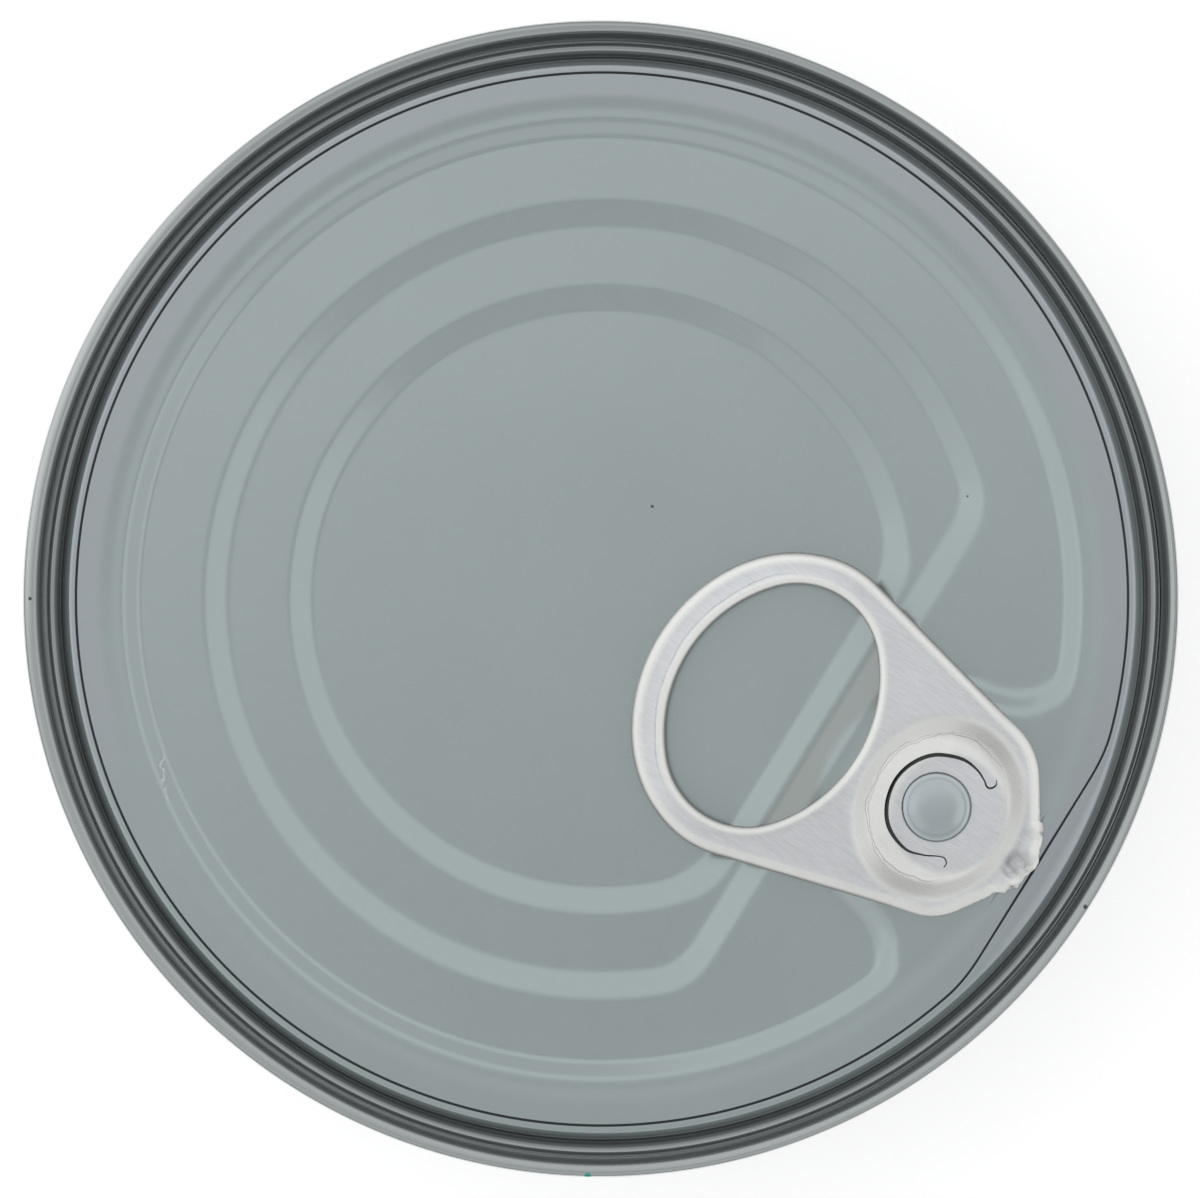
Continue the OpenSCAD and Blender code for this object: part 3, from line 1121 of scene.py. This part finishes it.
    def under(self, outer: np.ndarray, inner: np.ndarray, top: np.ndarray,
              far: np.ndarray) -> np.ndarray:
        """Return the height of the lower face.

        Args:
            outer: distance to the outline.
            inner: distance to the finger hole.
            top: height of the upper face.
            far: distance from the rivet.

        Returns:
            The heights.
        """
        near = np.minimum(outer / (2.0 * self.outer_roll), inner / (2.0 * self.inner_roll))
        curl = np.sqrt(np.clip(1.0 - (1.0 - np.clip(near * 2.0, 0.0, 1.0)) ** 2, 0.0, 1.0))
        low = self.top_z - self.outer_roll - (self.top_z - self.outer_roll - self.base_z) * curl
        sheet = top - self.sheet
        web = soft_ramp((near - 0.95) / 0.35, 0.4, 0.4)
        low = low * (1.0 - web) + np.maximum(sheet, self.base_z) * web
        cup = soft_ramp((7.0 - far) / 1.5, 0.4, 0.4)
        low = low * (1.0 - cup) + np.minimum(sheet, low) * cup
        return np.minimum(low, top - 0.03)

    def edge_rings(self) -> tuple[list[np.ndarray], list[np.ndarray]]:
        """Return the rings of points that follow the outline and the finger hole.

        Returns:
            The outline's rings and the hole's, each from its own edge into the metal.
        """
        rings, hole_rings = [], []
        for share in (0.0, 0.035, 0.11, 0.24, 0.42, 0.66, 1.0, 1.35, 1.75):
            ring = self.resample(self.outline(share * self.outer_roll), self.spacing)
            rings.append(self.torn(ring, max(0.0, 1.0 - 0.45 * share)))
        for share in (0.0, 0.04, 0.13, 0.27, 0.47, 0.72, 1.0, 1.16, 1.35, 1.8):
            grown = [size + share * self.inner_roll for size in self.hole]
            ring = self.oval(*grown, 4 * int(13.5 * (sum(grown[:2])) / 17.25 / self.spacing))
            hole_rings.append(ring + [self.hole_x, 0.0])
        return rings, hole_rings

    def grid(self, outline: np.ndarray, hole: np.ndarray, slot: np.ndarray) -> np.ndarray:
        """Return the loose points between the rings, closer together round the rivet.

        Args:
            outline: the pull's edge.
            hole: the finger hole's edge.
            slot: the slot's edge.

        Returns:
            The points.
        """
        def lattice(xs: np.ndarray, ys: np.ndarray, shift: float) -> np.ndarray:
            """Return a lattice with every other row shifted."""
            return np.array([(x + shift * (i % 2), y) for i, y in enumerate(ys) for x in xs])

        coarse = lattice(np.arange(5.0, 39.0, 0.27), np.arange(-12.4, 12.5, 0.27), 0.13)
        near = np.arange(-8.0, 9.0, 0.17)
        dense = lattice(near, near, 0.085) + [RIVET_X, 0.0]
        made = np.vstack([coarse[np.hypot(coarse[:, 0] - RIVET_X, coarse[:, 1]) > 7.6],
                          dense[np.hypot(dense[:, 0] - RIVET_X, dense[:, 1]) < 7.45]])
        made = made[self.within(made, outline) & ~self.within(made, hole)]
        keep = self.distance(made, outline) > 1.75 * self.outer_roll + 0.12
        keep &= self.distance(made, hole) > 1.8 * self.inner_roll + 0.12
        keep &= self.distance(made, slot) > 0.14
        keep &= np.hypot(made[:, 0] - RIVET_X, made[:, 1]) > self.rivet_hole + 0.15
        return made[keep & ~self.within(made, slot)]

    def plan(self) -> tuple[np.ndarray, np.ndarray, np.ndarray, np.ndarray]:
        """Triangulate the pull as seen from above.

        Returns:
            The points, the triangles, anticlockwise, the outline and the finger hole.
        """
        rings, hole_rings = self.edge_rings()
        outline, hole, slot = rings[0], hole_rings[0], self.slot_line()
        angle = np.linspace(0.0, 2.0 * math.pi, 60, endpoint=False)
        shank = np.column_stack([RIVET_X + self.rivet_hole * np.cos(angle),
                                 self.rivet_hole * np.sin(angle)])
        points: list[tuple[float, float]] = []
        edges: list[tuple[int, int]] = []
        for loop in rings + hole_rings + [slot, shank]:
            start = len(points)
            points += [tuple(p) for p in loop]
            edges += [(start + i, start + (i + 1) % len(loop)) for i in range(len(loop))]
        points += [tuple(p) for p in self.grid(outline, hole, slot)]
        flat, _, tris, *_ = delaunay_2d_cdt([Vector(p) for p in points], edges, [], 0, 1e-5)
        flat_xy = np.array([(p.x, p.y) for p in flat])
        tris = np.array([t for t in tris if len(t) == 3])
        middles = flat_xy[tris].mean(axis=1)
        good = self.within(middles, outline)
        for opening in (hole, slot, shank):
            good &= ~self.within(middles, opening)
        used = np.unique(tris[good])
        number = np.full(len(flat_xy), -1)
        number[used] = np.arange(len(used))
        tris, xy = number[tris[good]], flat_xy[used]
        ab, ac = xy[tris[:, 1]] - xy[tris[:, 0]], xy[tris[:, 2]] - xy[tris[:, 0]]
        flip = (ab[:, 0] * ac[:, 1] - ab[:, 1] * ac[:, 0]) < 0
        tris[flip] = tris[flip][:, ::-1]
        return xy, tris, outline, hole

    def build(self) -> list[bpy.types.Object]:
        """Build the pull as one closed shell.

        Returns:
            The piece.
        """
        xy, tris, outline, hole = self.plan()
        outer, inner = self.distance(xy, outline), self.distance(xy, hole)
        far, _, _ = self.cup_edges(xy)
        top, rolled = self.top(xy, outer, inner)
        low = self.under(outer, inner, top, far)
        count = len(xy)
        verts = np.vstack([np.column_stack([xy, top]), np.column_stack([xy, low])])
        faces = [tuple(t) for t in tris] + [tuple(t[::-1] + count) for t in tris]
        sides = np.vstack([tris[:, [0, 1]], tris[:, [1, 2]], tris[:, [2, 0]]])
        seen = {(int(a), int(b)) for a, b in sides}
        faces += [(b, a, a + count, b + count) for a, b in seen if (b, a) not in seen]
        made = make_object("ring_pull_shell", verts, faces, self.material)
        made.data.set_sharp_from_angle(angle=math.radians(50))
        # Painted shade on the underside, strongest toward the finger hole
        underside_shade = np.clip(0.5 + 0.7 * (outer - inner), 0.0, 1.0)
        for name, above, below in (("rolled", rolled, rolled), ("inner", inner, inner),
                                   ("under", np.zeros(count), underside_shade)):
            store(made, name, np.concatenate([above, below]))
        return [made]


# ---------------------------------------------------------------- body


@dataclass
class Body:
    """Drawn body: side wall, rounded lower edge, standing ring and hollow base."""

    material: bpy.types.Material
    radius: float = 42.5
    height: float = 35.0
    lid_z: float = 33.2
    edge: float = 2.2
    foot: float = 1.7
    hollow: float = 1.6
    segments: int = 256

    def profile(self) -> list[tuple[float, float]]:
        """Return the half section from under the seam down and in to the base's middle.

        Returns:
            Radius and height of each point.
        """
        points = [(42.2, self.lid_z), (42.2, self.height), (self.radius - 0.03, self.height),
                  (self.radius, self.height - 0.03)]
        points += [(self.radius, z) for z in np.linspace(34.0, self.edge + 0.3, 9)]
        points += [(self.radius - self.edge + self.edge * math.cos(a),
                    self.edge - self.edge * math.sin(a))
                   for a in np.linspace(0.0, math.pi / 2, 10)]
        ring = self.radius - self.edge - self.foot
        points += [(ring + 0.25, 0.0), (ring, 0.06), (ring - 0.25, 0.25),
                   (ring - self.hollow + 0.2, self.hollow - 0.25),
                   (ring - self.hollow, self.hollow - 0.05),
                   (ring - self.hollow - 0.35, self.hollow), (20.0, self.hollow),
                   (2.0, self.hollow)]
        return points[::-1]

    def build(self) -> list[bpy.types.Object]:
        """Build the body with a node tree that turns its section round the axis.

        Returns:
            The piece.
        """
        section = bpy.data.meshes.new("body_section")
        section_line = [(0.0, self.hollow), *self.profile(), (0.0, self.lid_z)]
        points = [(r * MM, -z * MM, 0.0) for r, z in section_line]
        section.from_pydata(points, [(i, i + 1) for i in range(len(points) - 1)], [])
        section.materials.append(self.material)
        made = bpy.data.objects.new("body_shell", section)
        bpy.context.scene.collection.objects.link(made)
        return [Turner(self.segments, self.material).apply(made)]


@dataclass
class Turner:
    """Geometry Nodes tree that turns a section round Z; it is drawn with -Y for up."""

    segments: int
    material: bpy.types.Material
    weld: float = 0.004

    def tree(self) -> bpy.types.NodeTree:
        """Build the tree.

        Returns:
            The node group, with inputs Geometry, Segments and Weld.
        """
        group = bpy.data.node_groups.new("turn_section", "GeometryNodeTree")
        face = group.interface
        for name, way, kind in (("Geometry", "INPUT", "Geometry"), ("Segments", "INPUT", "Int"),
                                ("Weld", "INPUT", "Float"), ("Geometry", "OUTPUT", "Geometry")):
            face.new_socket(name, in_out=way, socket_type=f"NodeSocket{kind}")
        put, join = group.nodes.new, group.links.new
        source, target = put("NodeGroupInput"), put("NodeGroupOutput")
        line, path, upright, sweep, weld, turn_out, smooth, real, paint = (
            put(f"GeometryNode{kind}") for kind in (
                "MeshToCurve", "CurvePrimitiveCircle", "SetCurveNormal", "CurveToMesh",
                "MergeByDistance", "FlipFaces", "SetShadeSmooth", "RealizeInstances",
                "SetMaterial"))
        upright.mode = "Z_UP"
        path.inputs["Radius"].default_value = 1e-6
        paint.inputs["Material"].default_value = self.material
        join(source.outputs["Geometry"], line.inputs[0])
        join(source.outputs["Segments"], path.inputs["Resolution"])
        join(path.outputs[0], upright.inputs["Curve"])
        join(upright.outputs[0], sweep.inputs["Curve"])
        join(line.outputs[0], sweep.inputs["Profile Curve"])
        join(sweep.outputs[0], weld.inputs["Geometry"])
        join(source.outputs["Weld"], weld.inputs["Distance"])
        join(weld.outputs[0], turn_out.inputs[0])
        join(turn_out.outputs[0], smooth.inputs[0])
        join(smooth.outputs[0], real.inputs[0])
        join(real.outputs[0], paint.inputs["Geometry"])
        join(paint.outputs[0], target.inputs[0])
        return group

    def apply(self, obj: bpy.types.Object) -> bpy.types.Object:
        """Run the tree on an object and keep the result as a plain mesh.

        Args:
            obj: the object that holds the section.

        Returns:
            The same object with its turned mesh.
        """
        group = self.tree()
        modifier = obj.modifiers.new("turn", "NODES")
        modifier.node_group = group
        by_name = {item.name: item.identifier for item in group.interface.items_tree
                   if item.item_type == "SOCKET" and item.in_out == "INPUT"}
        modifier[by_name["Segments"]] = self.segments
        modifier[by_name["Weld"]] = self.weld * MM
        bpy.context.view_layer.update()
        evaluated = obj.evaluated_get(bpy.context.evaluated_depsgraph_get())
        mesh = bpy.data.meshes.new_from_object(evaluated)
        obj.modifiers.remove(modifier)
        obj.data = mesh
        return obj


# ---------------------------------------------------------------- studio


@dataclass(frozen=True)
class Studio:
    """Plain pale floor, soft tent light and the camera straight above."""

    turn: float = math.radians(31.8)
    lean: float = math.radians(2.6)
    lean_to: float = math.radians(16.8)
    distance: float = 0.70
    field: float = 0.09056
    floor_half: float = 3000.0
    crest: float = 0.0374
    shift: tuple[float, float] = (0.000045, -0.00005)
    split_way: tuple[float, float] = (0.956, -0.29)
    split_at: float = 0.032
    split_sharp: float = 20.0

    def light(self) -> None:
        """Set the world: a soft tent, brighter toward the head of the view.

        Near the zenith it splits into a bright and a dimmer half; lobes lower down dim or
        brighten single headings, so that each sloping wall finds the tone it mirrors.
        """
        scene = bpy.context.scene
        world = bpy.data.worlds.new("tent")
        scene.world = world
        world.use_nodes = True
        bench = Bench(world.node_tree)
        way = bench.add("ShaderNodeTexCoord", out="Generated")
        x, y, z = bench.parts(way)
        up = (-math.sin(self.turn), math.cos(self.turn))
        right = (math.cos(self.turn), math.sin(self.turn))
        head = x * up[0] + y * up[1]
        side = x * right[0] + y * right[1]
        off = (head * head + side * side + 1e-6) ** 0.5

        def lobe(degrees: float, low: float, high: float) -> Wire:
            """Return a lobe round one heading, clockwise from the view's right."""
            turn = math.radians(degrees)
            return ((math.cos(turn) * side - math.sin(turn) * head) / off).step(low, high)

        split = self.split_way[0] * head + self.split_way[1] * side - self.split_at
        rise = (split * self.split_sharp).tanh()
        near = 0.89 + 0.15 * rise
        mid = 1.09 - 0.31 * lobe(82.0, 0.70, 0.86) - 0.16 * lobe(143.0, 0.86, 0.96) + (
            0.06 * lobe(180.0, 0.8, 0.95))
        far = 0.88 + 0.13 * lobe(92.0, 0.25, 0.5) + 0.22 * lobe(207.0, 0.48, 0.7)
        away, low = off.step(0.10, 0.27), off.step(0.46, 0.58)
        tone = near * (1.0 - away) + (mid * (1.0 - low) + far * low) * away
        sky = z.step(0.12, 0.85)
        value = tone * (0.2 + 0.8 * sky) + 0.45 * lobe(210.0, 0.87, 0.99) * off.step(0.66, 0.86)
        seen = bench.add("ShaderNodeLightPath", out="Is Camera Ray")
        colour = bench.add("ShaderNodeCombineXYZ", None, value, value, value * 1.01)
        tent = bench.add("ShaderNodeBackground", None, colour, 1.0)
        pale = bench.add("ShaderNodeBackground", None, (1.0, 1.0, 1.0), 1.0)
        both = bench.add("ShaderNodeMixShader", None, seen, tent, pale)
        bench.node("ShaderNodeOutputWorld", None, both)

    def floor(self) -> bpy.types.Object:
        """Make the floor.

        Returns:
            The floor's object.
        """
        bench, made = Bench.material("pale_floor")
        bench.finish(Base_Color=(0.9, 0.9, 0.9), Roughness=0.85,
                     Emission_Color=(1.0, 1.0, 1.0), Emission_Strength=0.42)
        r = self.floor_half
        verts = np.array([(-r, -r, 0.0), (r, -r, 0.0), (r, r, 0.0), (-r, r, 0.0)])
        return make_object("floor", verts, [(0, 1, 2, 3)], made, smooth=False)

    def camera(self) -> bpy.types.Object:
        """Make the camera and set it on the scene.

        Returns:
            The camera's object.
        """
        data = bpy.data.cameras.new("camera")
        data.sensor_width = 36.0
        data.lens = 36.0 * self.distance / self.field
        data.clip_start, data.clip_end = 0.05, 20.0
        made = bpy.data.objects.new("camera", data)
        bpy.context.scene.collection.objects.link(made)
        right = Vector((math.cos(self.turn), math.sin(self.turn), 0.0))
        up = Vector((-math.sin(self.turn), math.cos(self.turn), 0.0))
        target = Vector((0.0, 0.0, self.crest)) + right * self.shift[0] + up * self.shift[1]
        away = Vector((math.cos(self.lean_to) * math.sin(self.lean),
                       math.sin(self.lean_to) * math.sin(self.lean), math.cos(self.lean)))
        back = away.normalized()
        side = up.cross(back).normalized()
        top = back.cross(side).normalized()
        turn = Matrix((side, top, back)).transposed().to_4x4()
        made.matrix_world = Matrix.Translation(target + back * self.distance) @ turn
        bpy.context.scene.camera = made
        return made

    def build(self) -> None:
        """Set up light, floor, camera and plain colour management."""
        view = bpy.context.scene.view_settings
        view.view_transform, view.look, view.exposure, view.gamma = "Standard", "None", 0.0, 1.0
        self.light()
        self.floor()
        self.camera()


# ---------------------------------------------------------------- main


class Node(Enum):
    """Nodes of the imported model."""

    BODY = "can_body"
    LID = "lid"
    PULL = "ring_pull"


def dress(pieces: Sequence[bpy.types.Object], node: Node) -> None:
    """Tie finished pieces to the frame in place of a node.

    Args:
        pieces: the pieces.
        node: the node that they stand for.
    """
    for piece in pieces:
        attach(piece, "root")
        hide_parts(node.value)
        LOG.info("%s: %d points, %d faces for %s", piece.name, len(piece.data.vertices),
                 len(piece.data.polygons), node.value)


def main() -> None:
    logging.basicConfig(level=logging.INFO, format="%(message)s", force=True)
    Studio().build()
    dress(Body(BodySteel().material()).build(), Node.BODY)
    dress(Lid(LidLacquer().material()).build(), Node.LID)
    dress(RingPull(PullAluminium().material()).build(), Node.PULL)


if __name__ == "__main__":
    main()
